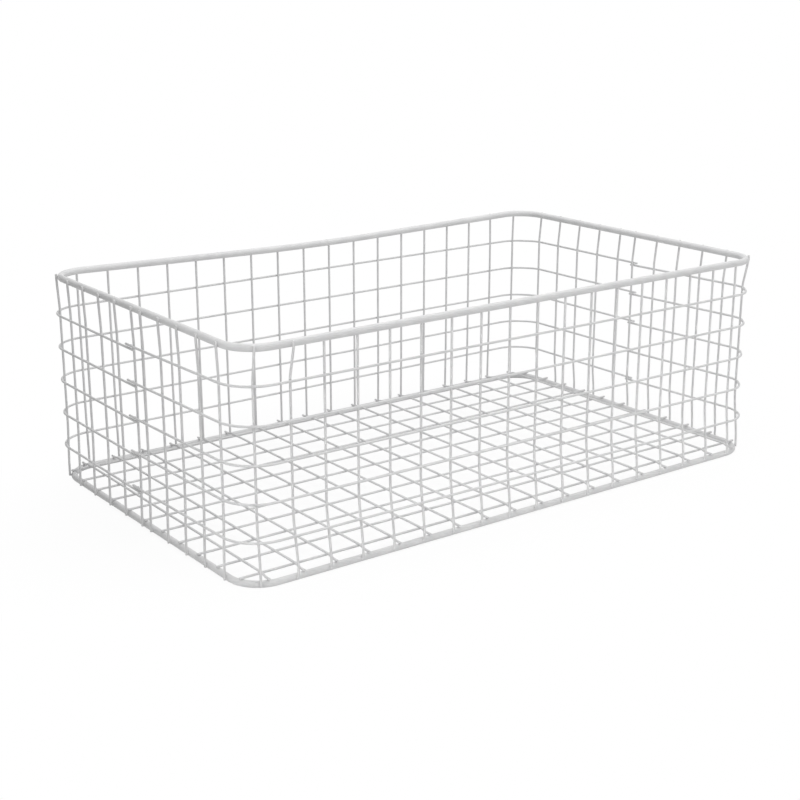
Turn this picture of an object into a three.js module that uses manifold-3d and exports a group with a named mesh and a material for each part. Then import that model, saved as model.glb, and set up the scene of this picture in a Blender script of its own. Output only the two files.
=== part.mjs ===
// Welded wire basket: a rectangular open tray of white coated steel wire with rounded corners.
// Millimetres, +X along the length, +Y to the rear, +Z up.
// The origin lies on the ground under the middle of the basket.

import * as THREE from 'three';
import { mergeVertices } from 'three/addons/utils/BufferGeometryUtils.js';
import Module from 'manifold-3d';

const wasm = await Module();
wasm.setup();

// Driving sizes of the two heavy loops
const length = 600; // centre line of rim and base ring, along X
const width = 355.5; // centre line of rim and base ring, along Y
const height = 200; // base ring centre to rim centre
const cornerRadius = 29; // bend of both loops at their centre line
const frameWire = 6; // diameter of rim and base ring
const rimDip = 6; // the rim sinks this far at the butt weld in the middle of its rear side

// Wires of the walls and the floor
const gridWire = 2.2; // diameter
const uprightCount = 29; // on each of the two half walls
const longSideCount = 17; // of these, on the long side
const underCount = 16; // of these, all but the first, end straight under the rim
const looseCount = 9; // of these, pieces of their own in the middle of the long side
const lineCount = 5; // line wires of each half wall
const crossCount = 18; // floor wires that run from front to rear
const longCount = 11; // floor wires that run from left to right
const lineEdge = 34.3; // outermost line wires, in from the loops' centre lines

// Fits
const weldGap = 0.3; // clearance where one welded wire touches the next
const weldSink = 0.4; // depth to which a wire is pressed into the wire that carries it
const wallInset = 3.2; // the walls stand this far inside the line on which uprights meet the loops
const wallShift = -2; // the walls stand off the middle of the loops by this, along X
const footLean = 60; // height in which the uprights come in from the base ring
const frontRise = 2.8; // line wires of the front half, higher along the front than at the laps
const topLap = 2.4; // upright ends above the rim's centre, where they lie outside it
const footLap = 0.9; // the same uprights' other ends below the base ring's centre
const footRise = 0.7; // ends of those that stand under the rim, above the base ring's centre
const floorReach = 2.6; // floor wire ends beyond the base ring's centre line
const floorEdge = 15; // outermost floor wires, in from the base ring's centre line at the long sides
const floorSideEdge = 20; // the same at the short sides
const lapGap = 20; // between the end uprights of the two half walls
const lapPast = 8; // a line wire's long end beyond the other half's end upright
const stubPast = 5; // its short end beyond its own half's end upright
const frontShift = 7; // front half wall off the middle of the basket, along its own run
const rearShift = 10; // rear half wall, along its own run

// Fineness of the wire surfaces
const gridSides = 6;
const frameSides = 12;
const bendSteps = 6; // in a quarter bend
const leanSteps = [0, 0.3, 0.65, 1]; // places in the lean above the foot

// Heights and places that follow from the sizes
const ringHeight = frameWire / 2;
const rimHeight = ringHeight + height;
const halfLength = length / 2;
const halfWidth = width / 2;
const longStraight = halfLength - cornerRadius;
const shortStraight = halfWidth - cornerRadius;
const contact = frameWire / 2 + weldGap + gridWire / 2;
const wallStand = contact - wallInset;
const quarterRun = (cornerRadius + wallStand) * Math.PI / 2;
const halfLoop = 2 * (longStraight + quarterRun + shortStraight);
const pitch = (halfLoop - lapGap) / (uprightCount - 1);
const linePitch = (height - 2 * lineEdge) / (lineCount - 1);
const gridSpan = gridWire / Math.cos(Math.PI / gridSides); // over the corners of its section
const lapStep = gridSpan + weldGap; // a line wire's long end laps above the other half's short end
const lastUpright = (uprightCount - 1) / 2 * pitch; // from the middle of a half wall
const middleLine = (lineCount - 1) / 2;
const up = new THREE.Vector3(0, 0, 1);

// The course of a wire, kept exactly through its corner points.
// "facing" gives the direction in which one flat of the wire looks, for a given run direction.
class WirePath extends THREE.Curve {
  constructor(points, facing, closed = false) {
    super();
    this.points = points;
    this.facing = facing;
    this.closed = closed;
  }

  at(index) {
    const count = this.points.length;
    const place = this.closed ? (index + count) % count : THREE.MathUtils.clamp(index, 0, count - 1);
    return this.points[place];
  }

  get steps() {
    return this.closed ? this.points.length : this.points.length - 1;
  }

  getPoint(t) {
    const place = t * this.steps;
    const index = Math.min(Math.floor(place + 1e-9), this.steps);
    return this.at(index).clone().lerp(this.at(index + 1), Math.max(place - index, 0));
  }

  getPointAt(t) {
    return this.getPoint(t);
  }

  computeFrenetFrames(segments) {
    const tangents = [];
    const normals = [];
    const binormals = [];
    for (let i = 0; i <= segments; i += 1) {
      const before = this.at(i).clone().sub(this.at(i - 1)).normalize();
      const after = this.at(i + 1).clone().sub(this.at(i)).normalize();
      const tangent = before.add(after).normalize();
      const normal = this.facing(tangent).clone();
      normal.addScaledVector(tangent, -normal.dot(tangent)).normalize();
      tangents.push(tangent);
      normals.push(normal);
      binormals.push(tangent.clone().cross(normal));
    }
    return { tangents, normals, binormals };
  }
}

// A closed body from any three.js geometry: only places, with shared corner points.
function body(geometry) {
  const plain = geometry.index ? geometry.toNonIndexed() : geometry;
  plain.deleteAttribute('uv');
  plain.deleteAttribute('normal');
  return mergeVertices(plain, 1e-5);
}

// An open wire with cut ends. Its flats stand at the true radius.
function wire(points, facing) {
  const corner = gridSpan / 2;
  const section = new THREE.Shape();
  for (let i = 0; i < gridSides; i += 1) {
    const angle = (i + 0.5) * 2 * Math.PI / gridSides;
    const x = corner * Math.cos(angle);
    const y = corner * Math.sin(angle);
    if (i === 0) {
      section.moveTo(x, y);
    } else {
      section.lineTo(x, y);
    }
  }
  const path = new WirePath(points, facing);
  return body(new THREE.ExtrudeGeometry(section, { steps: path.steps, extrudePath: path }));
}

// A heavy loop without ends, lying flat on one of its sides.
function loop(points) {
  const turn = Math.PI / frameSides;
  const path = new WirePath(points, () => up, true);
  const plainFrames = path.computeFrenetFrames.bind(path);
  path.computeFrenetFrames = (segments) => {
    const frames = plainFrames(segments);
    for (let i = 0; i <= segments; i += 1) {
      frames.normals[i].applyAxisAngle(frames.tangents[i], turn);
      frames.binormals[i].applyAxisAngle(frames.tangents[i], turn);
    }
    return frames;
  };
  const radius = frameWire / 2 / Math.cos(turn);
  return body(new THREE.TubeGeometry(path, path.steps, radius, frameSides, true));
}

function toManifold(geometry) {
  const vertProperties = new Float32Array(geometry.attributes.position.array);
  const triVerts = new Uint32Array(geometry.index.array);
  return new wasm.Manifold(new wasm.Mesh({ numProp: 3, vertProperties, triVerts }));
}

// Several wires welded into one piece.
function fuse(geometries) {
  let whole = toManifold(geometries[0]);
  for (const geometry of geometries.slice(1)) {
    whole = whole.add(toManifold(geometry));
  }
  const mesh = whole.getMesh();
  const result = new THREE.BufferGeometry();
  result.setAttribute('position', new THREE.BufferAttribute(mesh.vertProperties, 3));
  result.setIndex(new THREE.BufferAttribute(mesh.triVerts, 1));
  return result;
}

// Height of the rim's centre line: it sinks evenly from the rear corners to the weld.
function rimLevel(x, y) {
  if (y < 0) {
    return rimHeight;
  }
  return rimHeight - rimDip * Math.max(0, 1 - Math.abs(x) / longStraight);
}

// Place on a half wall, by the run along it from the middle of its long side.
// The front half runs from the left side over the front to the right side; the rear half is
// the same, turned half round.
function wallPlace(run, half, offset) {
  const side = run < 0 ? -1 : 1;
  const distance = Math.abs(run);
  const past = distance - longStraight;
  const place = new THREE.Vector3();
  const outward = new THREE.Vector3(0, -1, 0);
  if (past <= 0) {
    place.set(run, -halfWidth, 0);
  } else if (past < quarterRun) {
    const angle = past / quarterRun * Math.PI / 2;
    outward.set(side * Math.sin(angle), -Math.cos(angle), 0);
    place.set(side * longStraight, -shortStraight, 0).addScaledVector(outward, cornerRadius);
  } else {
    outward.set(side, 0, 0);
    place.set(side * halfLength, past - quarterRun - shortStraight, 0);
  }
  place.addScaledVector(outward, offset);
  if (half === 'rear') {
    place.set(-place.x, -place.y, 0);
    outward.negate();
  }
  return { place, outward };
}

// The front half's line wires keep their rise round both corners and lose it along the short sides.
function lineRise(along, half, shift) {
  if (half !== 'front') {
    return 0;
  }
  const end = lastUpright + stubPast;
  const cornerEnd = longStraight + quarterRun - Math.sign(along) * shift;
  const share = (end - Math.abs(along)) / (end - cornerEnd);
  return frontRise * THREE.MathUtils.clamp(share, 0, 1);
}

// Height of a line wire, by the place along its half wall from that wall's middle.
// It falls a little from the long end to the short end, so that the two halves pass at the laps.
function lineHeight(index, along, half, shift) {
  const level = ringHeight + height / 2 + (middleLine - index) * linePitch;
  return level + lineRise(along, half, shift) - lapStep / 2 * along / lastUpright;
}

// Where the uprights start to lean out to the rim: just above the top line wire.
function headStart(half) {
  const rise = half === 'front' ? frontRise : 0;
  return ringHeight + height - lineEdge + rise + lapStep / 2 + gridWire;
}

// Share of the walls' full inset and shift that the uprights have taken at a height.
// It grows above the base ring. Uprights that end under the rim keep it to their ends; the others
// give it up between the top line wire and the rim.
function wallShare(z, half, rim, underRim) {
  const ringTop = ringHeight + frameWire / 2;
  const rimUnder = rim - frameWire / 2;
  const low = THREE.MathUtils.smoothstep(z, ringTop, ringTop + footLean);
  const high = 1 - THREE.MathUtils.smoothstep(z, headStart(half), rimUnder);
  return underRim ? low : Math.min(low, high);
}

// Point of a wire of the walls, a distance outside the axes of the uprights.
function wallPoint(run, half, z, outside, rim = rimHeight, underRim = false) {
  const share = wallShare(z, half, rim, underRim);
  const { place } = wallPlace(run, half, contact - wallInset * share + outside);
  place.x += wallShift * share;
  return place.setZ(z);
}

// One upright. Where a line wire carries it, it bows out into that wire.
function upright(along, half, shift, carrier, underRim) {
  const run = shift + along;
  const { place, outward } = wallPlace(run, half, 0);
  const rim = rimLevel(place.x, place.y);
  const ringTop = ringHeight + frameWire / 2;
  const rimUnder = rim - frameWire / 2;
  const heights = [
    underRim ? ringHeight + footRise : ringHeight - footLap,
    ...leanSteps.map((step) => ringTop + footLean * step),
    ...(underRim
      ? [rimUnder - weldGap]
      : [headStart(half), (headStart(half) + rimUnder) / 2, rimUnder, rim + topLap]),
  ];
  const seat = carrier === null ? null : lineHeight(carrier, along, half, shift);
  if (seat !== null) {
    heights.push(seat - linePitch / 2, seat, seat + linePitch / 2);
    heights.sort((low, high) => low - high);
  }
  const points = heights.map((z) => {
    const press = z === seat ? weldGap + weldSink : 0;
    return wallPoint(run, half, z, press, rim, underRim);
  });
  return wire(points, () => outward);
}

// One line wire: a U that lies outside the uprights of its half wall.
// The middle one carries the end uprights, so its long end stands off, clear of the other half's.
function lineWire(index, half, shift) {
  const standOff = index === middleLine ? weldGap + weldSink : 0;
  const bend = [];
  for (let i = 0; i <= bendSteps; i += 1) {
    bend.push(longStraight + quarterRun * i / bendSteps);
  }
  const course = [
    [-lastUpright - lapGap - lapPast, standOff],
    [-lastUpright - lapGap / 2, standOff],
    [-lastUpright - 2 * gridWire, 0],
    ...bend.toReversed().map((run) => [-run - shift, 0]),
    ...bend.map((run) => [run - shift, 0]),
    [lastUpright + stubPast, 0],
  ];
  const points = course.map(([along, stand]) => {
    const z = lineHeight(index, along, half, shift);
    return wallPoint(shift + along, half, z, gridWire + weldGap + stand);
  });
  return wire(points, (tangent) => tangent.clone().cross(up));
}

// Half extent of the base ring's plan along one axis, at a distance from the other axis.
function ringExtent(across, straight, acrossStraight) {
  const past = Math.max(0, Math.abs(across) - acrossStraight);
  const radius = cornerRadius + floorReach;
  return straight + Math.sqrt(radius * radius - past * past);
}

// Floor wires. The long ones lie on the base ring; the cross ones lie on these and
// dip at both ends to reach the ring.
const longLevel = ringHeight + contact;
const crossLevel = longLevel + gridWire + weldGap;
const longSpread = halfWidth - floorEdge;
const crossSpread = halfLength - floorSideEdge;

function longWireY(index) {
  return longSpread * (2 * index / (longCount - 1) - 1);
}

function longWire(index) {
  const y = longWireY(index);
  const end = ringExtent(y, longStraight, shortStraight);
  const points = [new THREE.Vector3(-end, y, longLevel), new THREE.Vector3(end, y, longLevel)];
  return wire(points, () => up);
}

function crossWire(index) {
  const x = crossSpread * (2 * index / (crossCount - 1) - 1);
  const end = ringExtent(x, shortStraight, longStraight);
  const dipEnd = end - floorReach - frameWire / 2;
  const dipStart = Math.min(longSpread + gridWire, dipEnd - gridWire);
  const course = [
    [-end, longLevel],
    [-dipEnd, longLevel],
    [-dipStart, crossLevel],
    [dipStart, crossLevel],
    [dipEnd, longLevel],
    [end, longLevel],
  ];
  const points = course.map(([y, z]) => new THREE.Vector3(x, y, z));
  return wire(points, () => up);
}

// Plan of a heavy loop, counter-clockwise seen from above, from the middle of the rear side.
function loopPlan() {
  const points = [new THREE.Vector3(0, halfWidth, 0)];
  const centres = [[-1, 1], [-1, -1], [1, -1], [1, 1]];
  centres.forEach(([sideX, sideY], corner) => {
    for (let i = 0; i <= bendSteps; i += 1) {
      const angle = (corner + 1 + i / bendSteps) * Math.PI / 2;
      const x = sideX * longStraight + cornerRadius * Math.cos(angle);
      const y = sideY * shortStraight + cornerRadius * Math.sin(angle);
      points.push(new THREE.Vector3(x, y, 0));
    }
  });
  return points;
}

const basket = new THREE.Group();
basket.name = 'wire_basket';

function addPiece(name, geometry) {
  geometry.computeVertexNormals();
  const material = new THREE.MeshStandardMaterial({ color: 0xe9eaeb, roughness: 0.45, metalness: 0.0 });
  const mesh = new THREE.Mesh(geometry, material);
  mesh.name = name;
  basket.add(mesh);
}

// The two heavy loops
addPiece('base_ring', loop(loopPlan().map((point) => point.setZ(ringHeight))));
addPiece('top_rim', loop(loopPlan().map((point) => point.setZ(rimLevel(point.x, point.y)))));

// Number of an upright along the long side, from 0. It falls outside 0 to longSideCount - 1 for
// those of the corners and the short side.
function longSideNumber(index) {
  return index - (uprightCount - longSideCount) / 2;
}

function endsUnderRim(index) {
  const number = longSideNumber(index);
  return number >= longSideCount - underCount && number < longSideCount;
}

// Which line wire carries an upright: the middle one those of the corners and the short side,
// its neighbours those at the two ends of the long side, and none the rest.
function carrierOf(index) {
  const number = longSideNumber(index);
  const looseStart = (longSideCount - looseCount) / 2;
  if (number < 0 || number >= longSideCount) {
    return middleLine;
  }
  if (number < looseStart) {
    return middleLine - 1;
  }
  return number < looseStart + looseCount ? null : middleLine + 1;
}

// Number of a repeated piece in its name.
function label(index) {
  return String(index + 1).padStart(2, '0');
}

// The two half walls
for (const [half, shift] of [['front', frontShift], ['rear', rearShift]]) {
  const [firstSide, lastSide] = half === 'front' ? ['left', 'right'] : ['right', 'left'];
  const carried = {
    [middleLine - 1]: `_${firstSide}_uprights`,
    [middleLine]: '_side_uprights',
    [middleLine + 1]: `_${lastSide}_uprights`,
  };
  const lines = [];
  for (let i = 0; i < lineCount; i += 1) {
    lines.push([lineWire(i, half, shift)]);
  }
  let looseNumber = 0;
  for (let i = 0; i < uprightCount; i += 1) {
    const along = i * pitch - lastUpright;
    const carrier = carrierOf(i);
    const piece = upright(along, half, shift, carrier, endsUnderRim(i));
    if (carrier === null) {
      addPiece(`${half}_upright_${label(looseNumber)}`, piece);
      looseNumber += 1;
    } else {
      lines[carrier].push(piece);
    }
  }
  lines.forEach((pieces, i) => {
    addPiece(`${half}_line_wire_${i + 1}${carried[i] ?? ''}`, fuse(pieces));
  });
}

// The floor
for (let i = 0; i < longCount; i += 1) {
  addPiece(`floor_long_wire_${label(i)}`, longWire(i));
}
for (let i = 0; i < crossCount; i += 1) {
  addPiece(`floor_cross_wire_${label(i)}`, crossWire(i));
}

export default basket;
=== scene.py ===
# %% [markdown]
# # A welded wire basket
# This lesson dresses the solids of a rectangular wire basket for its portrait. The real basket is
# 99 straight or bent lengths of steel wire, spot-welded where they cross and then coated with white
# powder. The solids carry its sizes as wires of six or twelve sides. Here each of them gets a round,
# finely bent wire with cut ends, the small weld between each pair of wires, and the coat.

# %% Load the frame
import math

import bpy
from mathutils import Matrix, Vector


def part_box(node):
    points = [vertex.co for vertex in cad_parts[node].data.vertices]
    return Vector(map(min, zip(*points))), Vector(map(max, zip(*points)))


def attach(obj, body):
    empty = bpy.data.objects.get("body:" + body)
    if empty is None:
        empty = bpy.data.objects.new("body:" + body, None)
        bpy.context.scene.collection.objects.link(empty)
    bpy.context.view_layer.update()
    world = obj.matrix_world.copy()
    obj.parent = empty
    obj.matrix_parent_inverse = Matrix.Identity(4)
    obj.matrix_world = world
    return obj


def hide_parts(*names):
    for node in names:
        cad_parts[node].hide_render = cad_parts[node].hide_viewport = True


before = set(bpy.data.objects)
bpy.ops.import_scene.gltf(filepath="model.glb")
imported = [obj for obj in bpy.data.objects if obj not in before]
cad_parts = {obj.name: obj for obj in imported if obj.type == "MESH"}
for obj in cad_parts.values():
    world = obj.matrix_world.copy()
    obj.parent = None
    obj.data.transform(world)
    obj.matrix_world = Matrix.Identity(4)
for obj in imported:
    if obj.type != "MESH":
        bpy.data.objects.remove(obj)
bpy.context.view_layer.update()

# %% [markdown]
# ## Sizes
# Every wire follows the frame, so the sizes are measured on the solids where a box can tell them.
# What a box can't tell, such as the bend of a corner or the lean of the walls, is named where it is
# first needed, in metres.

# %% Measure the two heavy loops
mm_per_metre = 1000

ring_low, ring_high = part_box("base_ring")
rim_low, rim_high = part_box("top_rim")
frame_wire = ring_high.z - ring_low.z
ring_height = ring_low.z + frame_wire / 2
ring_top = ring_height + frame_wire / 2
rim_height = rim_high.z - frame_wire / 2
rim_dip = rim_high.z - rim_low.z - frame_wire
half_length = ring_high.x - frame_wire / 2
half_width = ring_high.y - frame_wire / 2
print(f"heavy wire {frame_wire * mm_per_metre:.1f} mm, rim {rim_height * mm_per_metre:.1f} mm high")

# %% Measure the grid
loose_count = 9
wall_shift = -0.002


def middle_of(node):
    """The middle of a solid's box."""
    low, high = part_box(node)
    return (low + high) / 2


floor_low, floor_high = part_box("floor_long_wire_06")
grid_wire = floor_high.z - floor_low.z
pitch = (middle_of("front_upright_09").x - middle_of("front_upright_01").x) / (loose_count - 1)

# An upright's box reaches from its foot to its shifted wall, so its middle has half of the shift.
shift_of = {
    "front": middle_of("front_upright_05").x - wall_shift / 2,
    "rear": wall_shift / 2 - middle_of("rear_upright_05").x,
}
print(f"grid wire {grid_wire * mm_per_metre:.1f} mm, uprights {pitch * mm_per_metre:.1f} mm apart")

# %% Name what the boxes can't tell
corner_radius = 0.029
weld_gap = 0.0003
wall_inset = 0.0032
upright_count = 29
long_side_count = 17
line_count = 5
middle_line = (line_count - 1) // 2
solid_sides = 6

long_straight = half_length - corner_radius
short_straight = half_width - corner_radius
contact = frame_wire / 2 + weld_gap + grid_wire / 2
wall_stand = contact - wall_inset
quarter_run = (corner_radius + wall_stand) * math.pi / 2
half_loop = 2 * (long_straight + quarter_run + short_straight)
last_upright = (upright_count - 1) / 2 * pitch
lap_gap = half_loop - 2 * last_upright
print(f"the half walls meet with a gap of {lap_gap * mm_per_metre:.1f} mm")

# %% Measure the line wires
# The solids of two line wires pass each other at a lap, so a step is measured over their corners.
lap_step = grid_wire / math.cos(math.pi / solid_sides) + weld_gap
top_line = middle_of("rear_line_wire_1").z
low_line = middle_of("rear_line_wire_5").z
line_pitch = (top_line - low_line) / (line_count - 1)
print(f"line wires {line_pitch * mm_per_metre:.1f} mm apart")

# %% [markdown]
# ## Where a wire lies
# Each wall is a half: it starts in the middle of one short side, runs round two corners and ends in
# the middle of the other short side. So a place on it is told by one number, the run from the
# middle of its long side. The rear half is the front half turned half round.


# %% Places along a wall
def wall_place(run, half, offset):
    """The place at a run along a half wall, and the angle at which the wall looks outward there."""
    side = -1 if run < 0 else 1
    past = abs(run) - long_straight
    if past <= 0:
        angle = -math.pi / 2
        place = Vector((run, -half_width, 0))
    elif past < quarter_run:
        angle = -math.pi / 2 + side * past / quarter_run * math.pi / 2
        bend = Vector((math.cos(angle), math.sin(angle), 0)) * corner_radius
        place = Vector((side * long_straight, -short_straight, 0)) + bend
    else:
        angle = -math.pi / 2 + side * math.pi / 2
        place = Vector((side * half_length, past - quarter_run - short_straight, 0))
    place += Vector((math.cos(angle), math.sin(angle), 0)) * offset
    if half == "rear":
        place = -place
        angle += math.pi
    return place, angle


print("the front wall's right corner starts at", wall_place(long_straight, "front", 0)[0])

# %% Heights of the line wires
front_rise = 0.0028
stub_past = 0.005


def line_rise(along, half):
    """The front half's line wires stand higher along the front and come down to the laps."""
    if half == "rear":
        return 0
    end = last_upright + stub_past
    corner_end = long_straight + quarter_run - math.copysign(shift_of[half], along)
    share = (end - abs(along)) / (end - corner_end)
    return front_rise * min(max(share, 0), 1)


def line_height(index, along, half):
    """A line wire falls a little along its half, so that the two halves pass at their laps."""
    fall = lap_step / 2 * along / last_upright
    return top_line - index * line_pitch + line_rise(along, half) - fall


print(f"the front's top line wire is {line_height(0, 0, 'front') * mm_per_metre:.1f} mm high")

# %% [markdown]
# The uprights lie outside the ring with their feet and lean in by a few millimetres above it. Along
# the long sides they end straight under the rim; round the corners and on the short sides they lean
# out again and end outside it. The walls also stand 2 mm nearer to the left end than the loops do,
# as on the real basket, and on the right short side they come in less.

# %% Soft steps and knees
head_bend = 0.002


def smooth_step(value, start, end):
    """From 0 at the start to 1 at the end, level at both."""
    share = min(max((value - start) / (end - start), 0), 1)
    return share * share * (3 - 2 * share)


def soft_knee(value):
    """Nothing below zero and the value itself above it, with the bend between them rounded."""
    if abs(value) > head_bend:
        return max(value, 0)
    return (value + head_bend) ** 2 / (4 * head_bend)


def head_start(half):
    """Where the uprights start to lean out to the rim: just above the top line wire."""
    rise = front_rise if half == "front" else 0
    return top_line + rise + lap_step / 2 + grid_wire


print(f"in front the heads start to lean at {head_start('front') * mm_per_metre:.1f} mm")

# %% The lean of the walls
foot_lean = 0.060
right_start = 0.8
right_share = 0.55
right_lean = 0.036


def wall_share(z, half, rim, under_rim, outward):
    """Share of the full inset and shift that an upright has taken at a height."""
    on_right = smooth_step(outward.x, right_start, 1)
    full = 1 + (right_share - 1) * on_right
    lean = foot_lean + (right_lean - foot_lean) * on_right
    low = smooth_step(z, ring_top, ring_top + lean)
    if under_rim:
        return full * low
    start = head_start(half)
    end = rim - frame_wire / 2
    high = (soft_knee(z - start) - soft_knee(z - end)) / (end - start)
    return full * min(low, 1 - high)


def wall_point(run, half, z, outside, rim=rim_height, under_rim=False):
    """A point of a wall's wire, a distance outside the uprights' axes, and the angle there."""
    place, angle = wall_place(run, half, contact + outside)
    outward = Vector((math.cos(angle), math.sin(angle), 0))
    share = wall_share(z, half, rim, under_rim, outward)
    place -= outward * wall_inset * share
    place.x += wall_shift * share
    place.z = z
    return place, angle


print("the middle of the front wall is at", wall_point(0, "front", rim_height / 2, 0)[0])

# %% [markdown]
# The rim sinks towards the middle of its rear side, where its two ends are butt-welded. On the real
# basket these are two straight stretches that meet in a soft bend, so the height is a shallow V
# with its point rounded off.

# %% Height of the rim
dip_round = 0.08


def rim_level(x, y):
    """The height of the rim's centre line, as the solid has it."""
    if y < 0:
        return rim_height
    slope = rim_dip / long_straight
    distance = min(abs(x), long_straight)
    if distance < dip_round:
        distance = (distance * distance / dip_round + dip_round) / 2
    return rim_height - rim_dip + slope * distance


print(f"the rim sinks to {rim_level(0, half_width) * mm_per_metre:.1f} mm at its weld")

# %% [markdown]
# ## Drawing a wire
# A wire mill draws a rod through a round die and bends it on the way. The same can be done by hand
# in edit mode: start with a filled circle, extrude it along the course, and turn the new end by the
# bend's share at each step. A bevelled curve would be quicker, but extruding leaves clean rings of
# points that can be selected and trimmed like any mesh.

# %% Start a wire and draw it on
grid_sides = 16
frame_sides = 32


def start_wire(name, place, tilt, turn, thickness, sides):
    """A filled circle across the wire's course, open for editing."""
    bpy.ops.object.select_all(action="DESELECT")
    bpy.ops.mesh.primitive_circle_add(
        vertices=sides,
        radius=thickness / 2,
        fill_type="NGON",
        location=place,
        rotation=(tilt, 0, turn),
    )
    piece = bpy.context.active_object
    piece.name = name
    bpy.ops.object.transform_apply(location=True, rotation=True, scale=True)
    bpy.ops.object.mode_set(mode="EDIT")
    return piece


def draw_on(step, turn=0, centre=None):
    """Extrude the wire's end by one step, and turn the new end about the upright axis."""
    bpy.ops.mesh.extrude_region_move(TRANSFORM_OT_translate={"value": step})
    if turn:
        bpy.ops.transform.rotate(value=-turn, orient_axis="Z", center_override=centre)


def draw_level_wire(name, course, thickness, sides):
    """A wire along a course of places and headings that lies nearly level."""
    place, heading = course[0]
    piece = start_wire(name, place, math.pi / 2, heading + math.pi / 2, thickness, sides)
    for next_place, next_heading in course[1:]:
        draw_on(next_place - place, next_heading - heading, next_place)
        place, heading = next_place, next_heading
    return piece


print("points round a grid wire:", grid_sides, "and round a heavy one:", frame_sides)

# %% Finish its ends and its skin
end_round = 0.00035
end_segments = 2
cut_angle = math.radians(70)
smooth_angle = math.radians(40)


def smooth_skin(angle=smooth_angle):
    """Turn all faces outwards, leave edit mode and shade the skin smooth."""
    bpy.ops.mesh.select_mode(type="VERT")
    bpy.ops.mesh.select_all(action="SELECT")
    bpy.ops.mesh.normals_make_consistent(inside=False)
    bpy.ops.object.mode_set(mode="OBJECT")
    bpy.ops.object.shade_smooth_by_angle(angle=angle)


def trim_ends():
    """Take the burr off both cut ends."""
    bpy.ops.mesh.select_all(action="DESELECT")
    bpy.ops.mesh.select_mode(type="EDGE")
    bpy.ops.mesh.edges_select_sharp(sharpness=cut_angle)
    bpy.ops.mesh.bevel(offset=end_round, segments=end_segments, affect="EDGES")
    smooth_skin()


print(f"cut ends are rounded by {end_round * mm_per_metre:.2f} mm")

# %% [markdown]
# ## The white coat
# Powder coat is sprayed on dry and melted in an oven. It runs into a smooth, satin skin with a faint
# orange peel, a touch thinner and greyer where the wire was hot or the spray didn't reach. A noise
# in the colour and a finer one in the bump give both. The material reads Object coordinates, so the
# pattern sits still on every wire.

# %% Colour of the coat
patch_scale = 60
patch_detail = 4
patch_start = 0.32
patch_end = 0.62


def colour_coat(nodes, links, dark, light):
    """Soft patches between a darker and a lighter shade."""
    spot = nodes.new("ShaderNodeTexCoord")
    patches = nodes.new("ShaderNodeTexNoise")
    patches.inputs["Scale"].default_value = patch_scale
    patches.inputs["Detail"].default_value = patch_detail
    shades = nodes.new("ShaderNodeValToRGB")
    first, last = shades.color_ramp.elements
    first.position = patch_start
    first.color = (*dark, 1)
    last.position = patch_end
    last.color = (*light, 1)
    links.new(spot.outputs["Object"], patches.inputs["Vector"])
    links.new(patches.outputs["Fac"], shades.inputs["Fac"])
    links.new(shades.outputs["Color"], nodes["Principled BSDF"].inputs["Base Color"])


print("patches to a metre:", patch_scale)

# %% Orange peel of the coat
grain_scale = 1100
grain_detail = 2
grain_depth = 0.0001


def roughen_coat(nodes, links, peel):
    """A fine bump, as strong as the peel says."""
    spot = nodes.new("ShaderNodeTexCoord")
    grain = nodes.new("ShaderNodeTexNoise")
    grain.inputs["Scale"].default_value = grain_scale
    grain.inputs["Detail"].default_value = grain_detail
    bump = nodes.new("ShaderNodeBump")
    bump.inputs["Strength"].default_value = peel
    bump.inputs["Distance"].default_value = grain_depth
    links.new(spot.outputs["Object"], grain.inputs["Vector"])
    links.new(grain.outputs["Fac"], bump.inputs["Height"])
    links.new(bump.outputs["Normal"], nodes["Principled BSDF"].inputs["Normal"])


print("grains to a metre:", grain_scale)

# %% Make the coats
coat_shine = 0.45


def make_coat(name, light, dark, roughness, peel):
    coat = bpy.data.materials.new(name)
    coat.use_nodes = True
    nodes = coat.node_tree.nodes
    links = coat.node_tree.links
    shader = nodes["Principled BSDF"]
    shader.inputs["Roughness"].default_value = roughness
    shader.inputs["Specular IOR Level"].default_value = coat_shine
    colour_coat(nodes, links, dark, light)
    roughen_coat(nodes, links, peel)
    return coat


white_coat = make_coat(
    "white_coat", light=(0.73, 0.73, 0.73), dark=(0.67, 0.67, 0.675), roughness=0.5, peel=0.25
)
# The welds' coat is a touch lighter than the wires' coat. This is painted light that offsets the
# shade in the small gaps where wires cross.
weld_coat_painted_light = make_coat(
    "weld_coat_painted_light", light=(0.74, 0.74, 0.74), dark=(0.70, 0.70, 0.705), roughness=0.55, peel=0.5
)


def dress(piece, coat, *nodes):
    """Coat a finished piece and fix it to the basket in place of its solids."""
    piece.data.materials.clear()
    piece.data.materials.append(coat)
    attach(piece, "root")
    if nodes:
        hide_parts(*nodes)


print("coats:", white_coat.name, weld_coat_painted_light.name)

# %% [markdown]
# ## Rim and base ring
# Both heavy loops are one wire each, bent round four corners until its ends meet. The course starts
# at the joint in the middle of the rear side and comes back to it, so at the end the two caps are
# deleted and the rings of points there merged. With its coat the real rim is a little thicker than
# the ring, so its wire swells beyond the solid, and lies as much lower to keep its top.

# %% The course round a loop
bend_steps = 12
wire_face_corners = 4
merge_reach = 0.00001


def loop_course(level, stations):
    """Places and headings round a loop, from the middle of the rear side over the left and back."""
    corners = [(-1, 1), (-1, -1), (1, -1), (1, 1)]
    plan = [(-share * dip_round, half_width, math.pi) for share in stations]
    for number, (side_x, side_y) in enumerate(corners):
        for step in range(bend_steps + 1):
            angle = (number + 1 + step / bend_steps) * math.pi / 2
            x = side_x * long_straight + corner_radius * math.cos(angle)
            y = side_y * short_straight + corner_radius * math.sin(angle)
            plan.append((x, y, angle + math.pi / 2))
    plan += [(share * dip_round, half_width, 3 * math.pi) for share in reversed(stations)]
    return [(Vector((x, y, level(x, y))), heading) for x, y, heading in plan]


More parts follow.
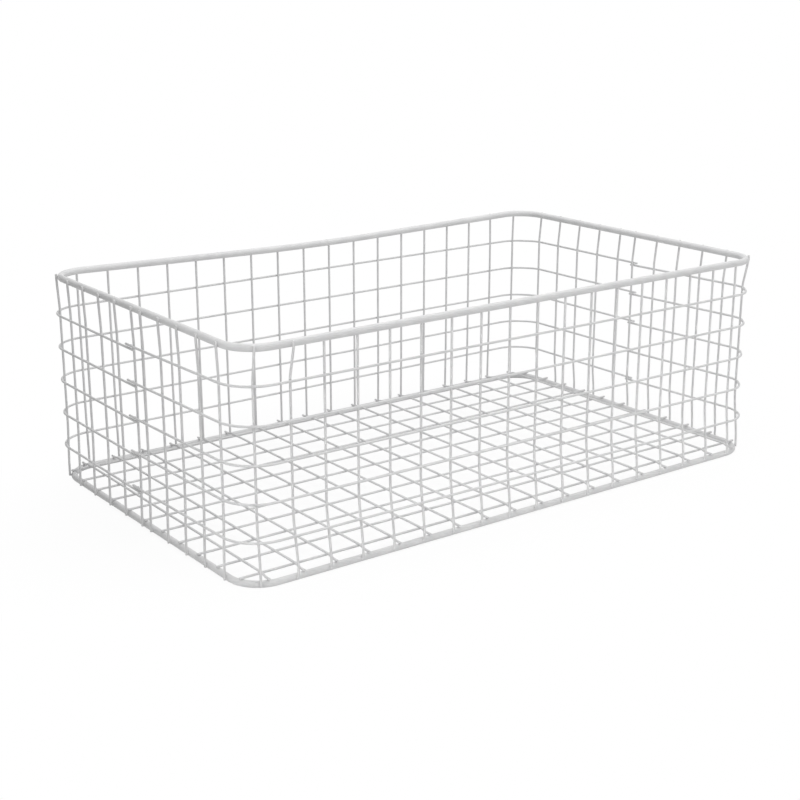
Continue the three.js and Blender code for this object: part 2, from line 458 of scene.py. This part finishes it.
def close_loop(piece):
    """Delete the two caps where the ends of a loop meet, and join the ends."""
    bpy.ops.object.mode_set(mode="OBJECT")
    for face in piece.data.polygons:
        face.select = len(face.vertices) > wire_face_corners
    bpy.ops.object.mode_set(mode="EDIT")
    bpy.ops.mesh.select_mode(type="FACE")
    bpy.ops.mesh.delete(type="ONLY_FACE")
    bpy.ops.mesh.select_mode(type="VERT")
    bpy.ops.mesh.select_all(action="SELECT")
    bpy.ops.mesh.remove_doubles(threshold=merge_reach)
    smooth_skin()


print("steps round a corner:", bend_steps)

# %% Draw the ring
ring_course = loop_course(lambda x, y: ring_height, [0])
ring = draw_level_wire("ring_wire", ring_course, frame_wire, frame_sides)
close_loop(ring)
dress(ring, white_coat, "base_ring")
print("ring points:", len(ring.data.vertices))

# %% Draw the rim
rim_swell = 0.0003
rim_wire = frame_wire + 2 * rim_swell
dip_steps = 8


def rim_centre(x, y):
    """The height of the swollen rim's centre line."""
    return rim_level(x, y) - rim_swell


dip_stations = [step / dip_steps for step in range(dip_steps + 1)]
rim = draw_level_wire("rim_wire", loop_course(rim_centre, dip_stations), rim_wire, frame_sides)
close_loop(rim)
dress(rim, white_coat, "top_rim")
print("rim points:", len(rim.data.vertices))

# %% [markdown]
# ## The rim's joint
# The ends of the rim's wire are pressed together and welded, which leaves a low collar. It is a
# short wire of its own, a little thicker than the rim, with both edges rounded down onto it.

# %% Draw the collar
seam_place = 0.018
seam_length = 0.003
seam_swell = 0.0002

seam_course = []
for end in (-1, 1):
    x = seam_place + end * seam_length / 2
    seam_course.append((Vector((x, half_width, rim_centre(x, half_width))), 0))
seam = draw_level_wire("rim_butt_weld", seam_course, rim_wire + 2 * seam_swell, frame_sides)
trim_ends()
dress(seam, weld_coat_painted_light)
print(f"the rim's joint is {seam_place * mm_per_metre:.0f} mm from the middle")

# %% [markdown]
# ## Uprights
# On the real basket the uprights are cut from one coil and bent by the press that welds them to the
# loops: a short foot on the ring, a soft lean inward and a straight wall. Those along the long side
# are pressed with their cut ends into the underside of the rim; the others lean out and lap it. Each
# is drawn upward in its place from a circle on its foot, because the lean differs round the basket,
# and those under the sunken stretch of the rim end lower.

# %% Which upright is which
under_count = 16
first_on_side = (upright_count - long_side_count) // 2
first_loose = (long_side_count - loose_count) // 2
upright_places = [number * pitch - last_upright for number in range(upright_count)]


def ends_under_rim(number):
    """Whether an upright of a half wall ends under the rim: those of the long side but the first."""
    on_side = number - first_on_side
    return long_side_count - under_count <= on_side < long_side_count


def carrier_of(number):
    """Which line wire an upright is one solid with: none in the middle of a long side."""
    on_side = number - first_on_side
    if on_side < 0 or on_side >= long_side_count:
        return middle_line
    if on_side < first_loose:
        return middle_line - 1
    return None if on_side < first_loose + loose_count else middle_line + 1


print("uprights of a half under the rim:", sum(map(ends_under_rim, range(upright_count))))

# %% Draw an upright
lean_steps = 12
knee_steps = [-1, -0.5, 0, 0.5, 1]
foot_lap = 0.0009
foot_rise = 0.0007
head_sink = 0.001
top_lap = 0.0024


def upright_heights(half, rim, under_rim):
    """The heights at which an upright is drawn on, from its foot to its head."""
    rim_under = rim - frame_wire / 2
    heights = [ring_height + foot_rise if under_rim else ring_height - foot_lap]
    heights += [ring_top + foot_lean * step / lean_steps for step in range(lean_steps + 1)]
    if under_rim:
        return heights + [rim_under + head_sink]
    heights += [head_start(half) + head_bend * step for step in knee_steps]
    heights += [rim_under + head_bend * step for step in knee_steps]
    return heights + [rim + top_lap]


def draw_upright(name, number, half):
    run = shift_of[half] + upright_places[number]
    under_rim = ends_under_rim(number)
    on_loop = wall_place(run, half, 0)[0]
    rim_here = rim_level(on_loop.x, on_loop.y)
    heights = upright_heights(half, rim_here, under_rim)
    course = [wall_point(run, half, z, 0, rim_here, under_rim)[0] for z in heights]
    piece = start_wire(name, course[0], 0, 0, grid_wire, grid_sides)
    for below, above in zip(course, course[1:]):
        draw_on(above - below)
    trim_ends()
    return piece


print("heights of an upright under the rim:", len(upright_heights("front", rim_height, True)))

# %% [markdown]
# ## Line wires
# Five line wires run outside the uprights of each half wall, bent round two corners into a U. At one
# end they reach over the gap to the other half and lap above its ends, so each falls by one wire
# thickness on its way. Three of the five are one solid with the uprights near the corners, so these
# are joined to them here as well.

# %% The course of a line wire
lap_past = 0.008


def line_course(index, half):
    """Places and headings along a line wire, from its long end to its short end."""
    shift = shift_of[half]
    bends = [long_straight + quarter_run * step / bend_steps for step in range(bend_steps + 1)]
    stations = [-last_upright - lap_gap - lap_past, -last_upright - stub_past]
    stations += [-run - shift for run in reversed(bends)]
    stations += [run - shift for run in bends]
    stations += [last_upright + stub_past]
    course = []
    for along in stations:
        z = line_height(index, along, half)
        place, angle = wall_point(shift + along, half, z, grid_wire + weld_gap)
        course.append((place, angle + math.pi / 2))
    return course


print("places along a line wire:", len(line_course(0, "front")))


# %% Draw the half walls and join what is one solid
def pick(*pieces):
    """Select only these pieces, with the last one active."""
    bpy.ops.object.select_all(action="DESELECT")
    for piece in pieces:
        piece.select_set(True)
    bpy.context.view_layer.objects.active = pieces[-1]


def make_half_wall(half, sides):
    """The wires of one half wall, each in place of the solid that it stands for."""
    carried = {
        middle_line - 1: f"_{sides[0]}_uprights",
        middle_line: "_side_uprights",
        middle_line + 1: f"_{sides[1]}_uprights",
    }
    lines = []
    for index in range(line_count):
        course = line_course(index, half)
        line = draw_level_wire(f"{half}_line_{index + 1}", course, grid_wire, grid_sides)
        trim_ends()
        lines.append([line])
    loose = 0
    for number in range(upright_count):
        carrier = carrier_of(number)
        if carrier is None:
            loose += 1
            piece = draw_upright(f"{half}_standing_wire_{loose:02d}", number, half)
            dress(piece, white_coat, f"{half}_upright_{loose:02d}")
        else:
            lines[carrier].append(draw_upright("carried_upright", number, half))
    for index, pieces in enumerate(lines):
        pick(*reversed(pieces))
        if len(pieces) > 1:
            bpy.ops.object.join()
        dress(pieces[0], white_coat, f"{half}_line_wire_{index + 1}{carried.get(index, '')}")
    print(half, "half wall:", loose, "loose uprights and", line_count, "line wires")


make_half_wall("front", ("left", "right"))
make_half_wall("rear", ("right", "left"))

# %% [markdown]
# ## Floor
# Eleven long wires lie straight across the ring. Eighteen cross wires lie on them, so their ends are
# pressed down at the front and the rear to reach the ring. The places and lengths come from the
# solids' boxes. The solids keep a small gap where wires are welded; here the cross wires are sunk
# into the long ones, as the weld does it.

# %% Draw the long floor wires
long_count = 11
long_names = [f"floor_long_wire_{number + 1:02d}" for number in range(long_count)]

for number, node in enumerate(long_names):
    low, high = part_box(node)
    middle = middle_of(node)
    course = [(Vector((x, middle.y, middle.z)), 0) for x in (low.x, high.x)]
    piece = draw_level_wire(f"long_floor_wire_{number + 1:02d}", course, grid_wire, grid_sides)
    trim_ends()
    dress(piece, white_coat, node)
print("long floor wires:", long_count)

# %% The course of a cross floor wire
cross_count = 18
cross_names = [f"floor_cross_wire_{number + 1:02d}" for number in range(cross_count)]
floor_reach = 0.0026
floor_weld_sink = 0.0007
press_steps = 6
long_spread = middle_of(long_names[-1]).y
long_level = middle_of(long_names[0]).z
cross_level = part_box(cross_names[0])[1].z - grid_wire / 2 - floor_weld_sink


def cross_course(node):
    """From front to rear: flat on the ring, up onto the long wires, and down again."""
    low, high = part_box(node)
    x = (low.x + high.x) / 2
    press_end = high.y - floor_reach - frame_wire / 2
    press_start = min(long_spread + grid_wire, press_end - grid_wire)
    rise = []
    for step in range(press_steps + 1):
        share = step / press_steps
        y = press_end + (press_start - press_end) * share
        z = long_level + (cross_level - long_level) * smooth_step(share, 0, 1)
        rise.append((y, z))
    course = [(-high.y, long_level)]
    course += [(-y, z) for y, z in rise]
    course += [(y, z) for y, z in reversed(rise)]
    course += [(high.y, long_level)]
    return [(Vector((x, y, z)), math.pi / 2) for y, z in course]


print(f"the cross wires lie {(cross_level - long_level) * mm_per_metre:.1f} mm above the long ones")

# %% Draw the cross floor wires
for number, node in enumerate(cross_names):
    name = f"cross_floor_wire_{number + 1:02d}"
    piece = draw_level_wire(name, cross_course(node), grid_wire, grid_sides)
    trim_ends()
    dress(piece, white_coat, node)
print("cross floor wires:", cross_count)

# %% [markdown]
# ## Welds
# Where two wires cross, a short current melts them together: they sink in a little, and a small
# collar of metal is squeezed out, which the coat rounds off. The weld here is one small pad with a
# bulging waist, a few dozen faces, because it is repeated at every crossing. It bridges the gap that
# the solids keep. It is drawn once, lying level, and copied to each crossing with its axis turned
# across the two wires.

# %% Draw one weld
weld_width = 0.0023
weld_sides = 8
weld_smooth_angle = math.radians(60)

# Each ring has its height above the weld's foot and its share of the width.
weld_rings = [(0, 0.70), (0.00035, 0.86), (0.00065, 0.94), (0.00095, 0.86), (0.0013, 0.70)]
weld_height = weld_rings[-1][0]
foot_width = weld_width * weld_rings[0][1]

pattern_weld = start_wire("pattern_weld", (0, 0, -weld_height / 2), 0, 0, foot_width, weld_sides)
for (low, narrow), (high, wide) in zip(weld_rings, weld_rings[1:]):
    draw_on((0, 0, high - low))
    growth = wide / narrow
    ring_middle = (0, 0, high - weld_height / 2)
    bpy.ops.transform.resize(value=(growth, growth, 1), center_override=ring_middle)
smooth_skin(weld_smooth_angle)
print("weld faces:", len(pattern_weld.data.polygons))


# %% Copy it to the crossings of the walls
def weld_all(name, spots, size=1.0):
    """One piece of welds. A spot is a place, the tilt of the weld's axis from upright, its turn."""
    copies = []
    for place, tilt, turn in spots:
        copy = pattern_weld.copy()
        copy.data = pattern_weld.data.copy()
        bpy.context.collection.objects.link(copy)
        copy.location = place
        copy.rotation_euler = (0, tilt, turn)
        copy.scale = (size, size, 1)
        copies.append(copy)
    pick(*copies)
    bpy.ops.object.transform_apply(location=True, rotation=True, scale=True)
    bpy.ops.object.join()
    piece = bpy.context.active_object
    piece.name = name
    dress(piece, weld_coat_painted_light)
    print(name, len(spots))


def wall_spots(half):
    """The crossings of a half's line wires with its own uprights and the other half's last one."""
    spots = []
    across = [-last_upright - lap_gap] + upright_places
    for index in range(line_count):
        for along in across:
            z = line_height(index, along, half)
            run = shift_of[half] + along
            place, angle = wall_point(run, half, z, (grid_wire + weld_gap) / 2)
            spots.append((place, math.pi / 2, angle))
    return spots


weld_all("front_wall_welds", wall_spots("front"))
weld_all("rear_wall_welds", wall_spots("rear"))

# %% Weld the uprights to the loops
rim_spots = []
ring_spots = []
for half in ("front", "rear"):
    for number, along in enumerate(upright_places):
        place, angle = wall_place(shift_of[half] + along, half, (frame_wire + weld_gap) / 2)
        under_rim = ends_under_rim(number)
        foot = ring_height + foot_rise if under_rim else ring_height
        ring_spots.append((Vector((place.x, place.y, foot)), math.pi / 2, angle))
        if not under_rim:
            head = rim_level(place.x, place.y)
            rim_spots.append((Vector((place.x, place.y, head)), math.pi / 2, angle))
weld_all("rim_welds", rim_spots)
weld_all("ring_welds", ring_spots)

# %% Weld the floor
floor_weld_size = 1.25
floor_weld_level = (long_level + cross_level) / 2

floor_spots = []
for long_node in long_names:
    for cross_node in cross_names:
        place = Vector((middle_of(cross_node).x, middle_of(long_node).y, floor_weld_level))
        floor_spots.append((place, 0, 0))
weld_all("floor_welds", floor_spots, floor_weld_size)

# %% Weld the floor to the ring
seat_weld_size = 0.7
seat_level = ring_height + (frame_wire + weld_gap) / 2

seat_spots = []
for node in long_names:
    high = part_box(node)[1]
    for x in (floor_reach - high.x, high.x - floor_reach):
        seat_spots.append((Vector((x, middle_of(node).y, seat_level)), 0, 0))
for node in cross_names:
    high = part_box(node)[1]
    for y in (floor_reach - high.y, high.y - floor_reach):
        seat_spots.append((Vector((middle_of(node).x, y, seat_level)), 0, 0))
weld_all("floor_seat_welds", seat_spots, seat_weld_size)
pick(pattern_weld)
bpy.ops.object.delete()

# %% [markdown]
# ## Studio
# The basket stands on a pale floor in front of a white background. The floor is a sheet of matt
# paper that fades into the white away from the basket, and only for the camera and for reflections:
# the light that it throws back onto the wires stays at a plain level.

# %% The paper of the floor
floor_shade = 0.98
bounce_shade = 0.75


def seen_rays(nodes, links):
    """1 for the camera's rays and for reflections, and 0 for light that bounces on."""
    path = nodes.new("ShaderNodeLightPath")
    seen = nodes.new("ShaderNodeMath")
    seen.operation = "MAXIMUM"
    links.new(path.outputs["Is Camera Ray"], seen.inputs[0])
    links.new(path.outputs["Is Glossy Ray"], seen.inputs[1])
    return seen.outputs["Value"]


def lay_paper(nodes, links, seen):
    """Matt paper, lighter where it is seen than where it throws light back."""
    shade = nodes.new("ShaderNodeMix")
    shade.data_type = "RGBA"
    shade.inputs["A"].default_value = (bounce_shade, bounce_shade, bounce_shade, 1)
    shade.inputs["B"].default_value = (floor_shade, floor_shade, floor_shade, 1)
    paper = nodes.new("ShaderNodeBsdfDiffuse")
    links.new(seen, shade.inputs["Factor"])
    links.new(shade.outputs["Result"], paper.inputs["Color"])
    return paper.outputs["BSDF"]


print("the floor is seen at", floor_shade, "and throws back", bounce_shade)

# %% The white round it
shadow_share = 0.1
shadow_reach = 0.9
white_reach = 1.7


def white_share(nodes, links, seen):
    """How much plain white a seen place shows: all of it far off, a little less by the basket."""
    spot = nodes.new("ShaderNodeTexCoord")
    plan = nodes.new("ShaderNodeMapping")
    plan.inputs["Scale"].default_value = (1 / half_length, 1 / half_width, 1)
    distance = nodes.new("ShaderNodeVectorMath")
    distance.operation = "LENGTH"
    fade = nodes.new("ShaderNodeMapRange")
    fade.interpolation_type = "SMOOTHSTEP"
    fade.inputs["From Min"].default_value = shadow_reach
    fade.inputs["From Max"].default_value = white_reach
    fade.inputs["To Min"].default_value = 1 - shadow_share
    share = nodes.new("ShaderNodeMath")
    share.operation = "MULTIPLY"
    links.new(spot.outputs["Object"], plan.inputs["Vector"])
    links.new(plan.outputs["Vector"], distance.inputs[0])
    links.new(distance.outputs["Value"], fade.inputs["Value"])
    links.new(fade.outputs["Result"], share.inputs[0])
    links.new(seen, share.inputs[1])
    return share.outputs["Value"]


print("share of the shadow that is seen by the basket:", shadow_share)

# %% Set the floor
floor_size = 14.0


def make_floor_paint():
    paint = bpy.data.materials.new("floor_paint")
    paint.use_nodes = True
    nodes = paint.node_tree.nodes
    links = paint.node_tree.links
    nodes.remove(nodes["Principled BSDF"])
    seen = seen_rays(nodes, links)
    white = nodes.new("ShaderNodeEmission")
    mix = nodes.new("ShaderNodeMixShader")
    links.new(white_share(nodes, links, seen), mix.inputs["Fac"])
    links.new(lay_paper(nodes, links, seen), mix.inputs[1])
    links.new(white.outputs["Emission"], mix.inputs[2])
    links.new(mix.outputs["Shader"], nodes["Material Output"].inputs["Surface"])
    return paint


bpy.ops.object.select_all(action="DESELECT")
bpy.ops.mesh.primitive_plane_add(size=floor_size, location=(0, 0, 0))
studio_floor = bpy.context.active_object
studio_floor.name = "studio_floor"
studio_floor.data.materials.append(make_floor_paint())
print(f"floor {floor_size:.0f} m wide")

# %% [markdown]
# ## Lights
# One soft box hangs over the basket and a wide one stands in front. A small one with a grid lights
# the front of the left end, which darkens towards the rear. The pale room fills in from all sides,
# so the tops and fronts of the wires are light and their undersides a soft grey. The room is white
# for the camera and for reflections, and dimmer where it lights the wires.

# %% Hang the soft boxes
basket_middle = (0, 0, rim_height / 2)
open_spread = 180


def hang_soft_box(name, place, aim, size, power, spread=open_spread):
    """A square soft box that looks at a place. A grid before it narrows its spread, in degrees."""
    bpy.ops.object.light_add(type="AREA", location=place)
    lamp = bpy.context.active_object
    lamp.name = name
    lamp.rotation_euler = (Vector(aim) - Vector(place)).to_track_quat("-Z", "Y").to_euler()
    lamp.data.size = size
    lamp.data.energy = power
    lamp.data.spread = math.radians(spread)
    print(name, power, "W")


hang_soft_box("top_soft_box", place=(0.2, 0.1, 1.4), aim=basket_middle, size=1.6, power=14)
hang_soft_box("front_soft_box", place=(0.2, -5.2, 1.5), aim=basket_middle, size=4.0, power=86)
hang_soft_box(
    "left_soft_box", place=(-1.1, -0.45, 0.35), aim=(-0.3, -0.36, 0.1), size=0.5, power=0.3, spread=30
)

# %% Light the room
room_light = 0.35
room_white = 1.0

room = bpy.data.worlds.new("room")
bpy.context.scene.world = room
room.use_nodes = True
room_nodes = room.node_tree.nodes
room_links = room.node_tree.links
backdrop = room_nodes["Background"]
backdrop.inputs["Color"].default_value = (1, 1, 1, 1)
room_path = room_nodes.new("ShaderNodeLightPath")
strength = room_nodes.new("ShaderNodeMapRange")
strength.inputs["To Min"].default_value = room_white
strength.inputs["To Max"].default_value = room_light
room_links.new(room_path.outputs["Is Diffuse Ray"], strength.inputs["Value"])
room_links.new(strength.outputs["Result"], backdrop.inputs["Strength"])
print("the room lights the wires at", room_light)

# %% [markdown]
# ## Camera
# The camera stands in front of the left corner, a little above the basket, as far back as the
# perspective of the wires shows.

# %% Place the camera
camera_place = Vector((-0.84134, -1.11572, 0.49179))
camera_look = Vector((0.56906, 0.76889, -0.29152))
camera_lens = 65.16
camera_sensor = 36

bpy.ops.object.camera_add(location=camera_place)
camera = bpy.context.active_object
camera.rotation_euler = camera_look.to_track_quat("-Z", "Y").to_euler()
camera.data.lens = camera_lens
camera.data.sensor_width = camera_sensor
bpy.context.scene.camera = camera
bpy.context.scene.view_settings.view_transform = "Standard"
print(f"camera {camera_place.length:.2f} m from the middle of the floor")
